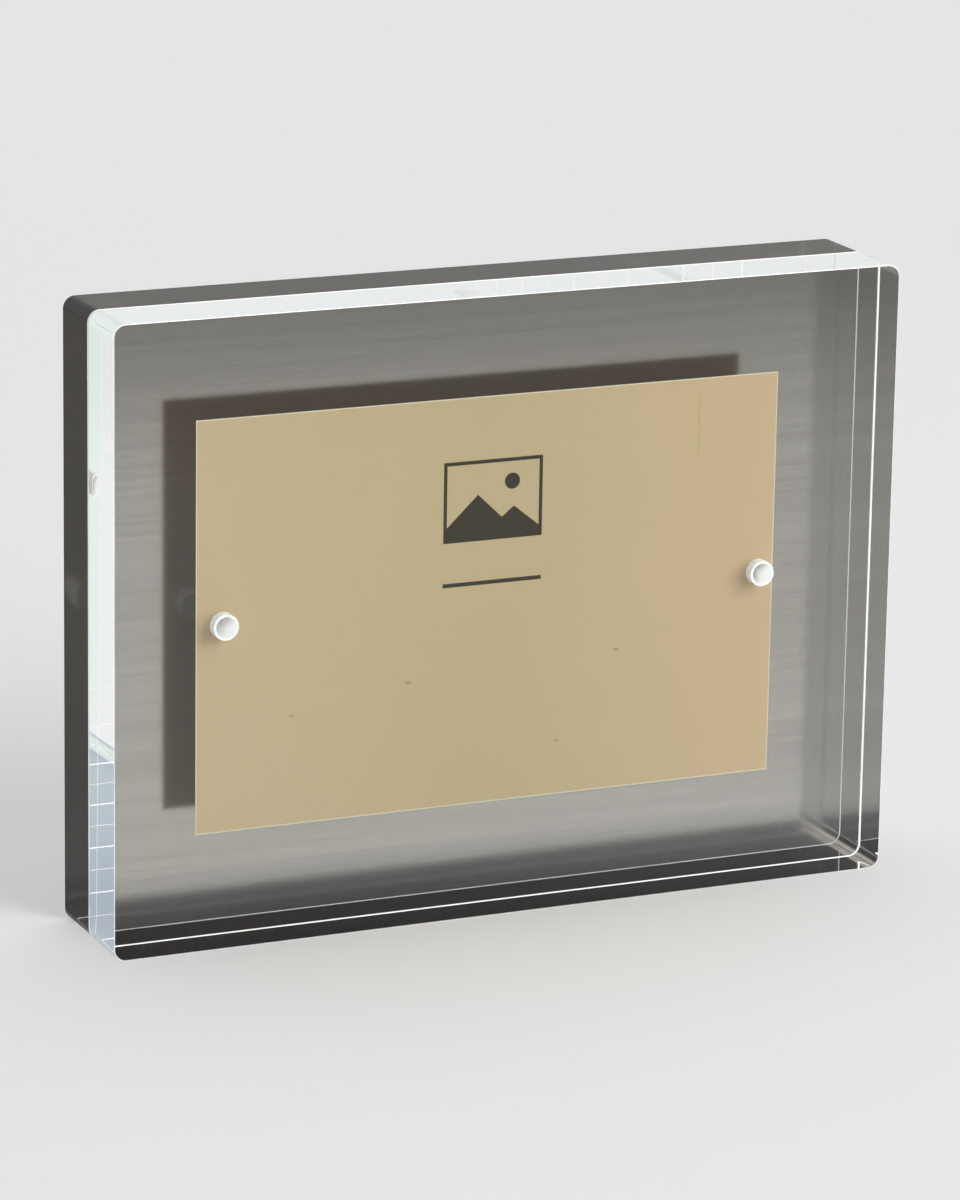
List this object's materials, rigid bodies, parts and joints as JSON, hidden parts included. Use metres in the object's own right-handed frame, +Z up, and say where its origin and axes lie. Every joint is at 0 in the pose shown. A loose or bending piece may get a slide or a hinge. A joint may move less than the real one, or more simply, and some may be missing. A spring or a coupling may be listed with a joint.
{
  "type": "magnetic block photo frame",
  "caption": "Free-standing photo frame of clear blocks that clamp a landscape card by hidden magnets, with a brushed metal sheet bonded behind.",
  "frame": {"origin": "middle of the footprint, on the surface that the frame stands on", "axes": "+X along the width, to the right seen from the front; +Y from the front to the back; +Z up"},
  "size_m": [0.204, 0.0354, 0.154],
  "materials": {
    "clear_acrylic": "clear, polished faces and bevels",
    "nickel_plate": "bright nickel plate",
    "cured_glue": "milky cured glue",
    "beige_card": "smooth uncoated card",
    "clear_film": "clear bonding film",
    "gunmetal_sheet": "satin, finely brushed along the width"
  },
  "bodies": {
    "rear_half": {"rear_block": "clear_acrylic", "rear_magnet_left": "nickel_plate", "rear_magnet_right": "nickel_plate", "rear_glue_left": "cured_glue", "rear_glue_right": "cured_glue", "bonding_film": "clear_film", "backing_plate": "gunmetal_sheet"},
    "front_half": {"front_block": "clear_acrylic", "front_magnet_left": "nickel_plate", "front_magnet_right": "nickel_plate", "front_glue_left": "cured_glue", "front_glue_right": "cured_glue"},
    "card": {"insert_card": "beige_card"}
  },
  "joints": [
    {"name": "front_pull", "type": "slide", "parent": "rear_half", "child": "front_half", "axis": [0, -1, 0], "range_m": [0, 0.06]},
    {"name": "card_lift", "type": "slide", "parent": "rear_half", "child": "card", "axis": [0, 0, 1], "range_m": [0, 0.13]}
  ]
}
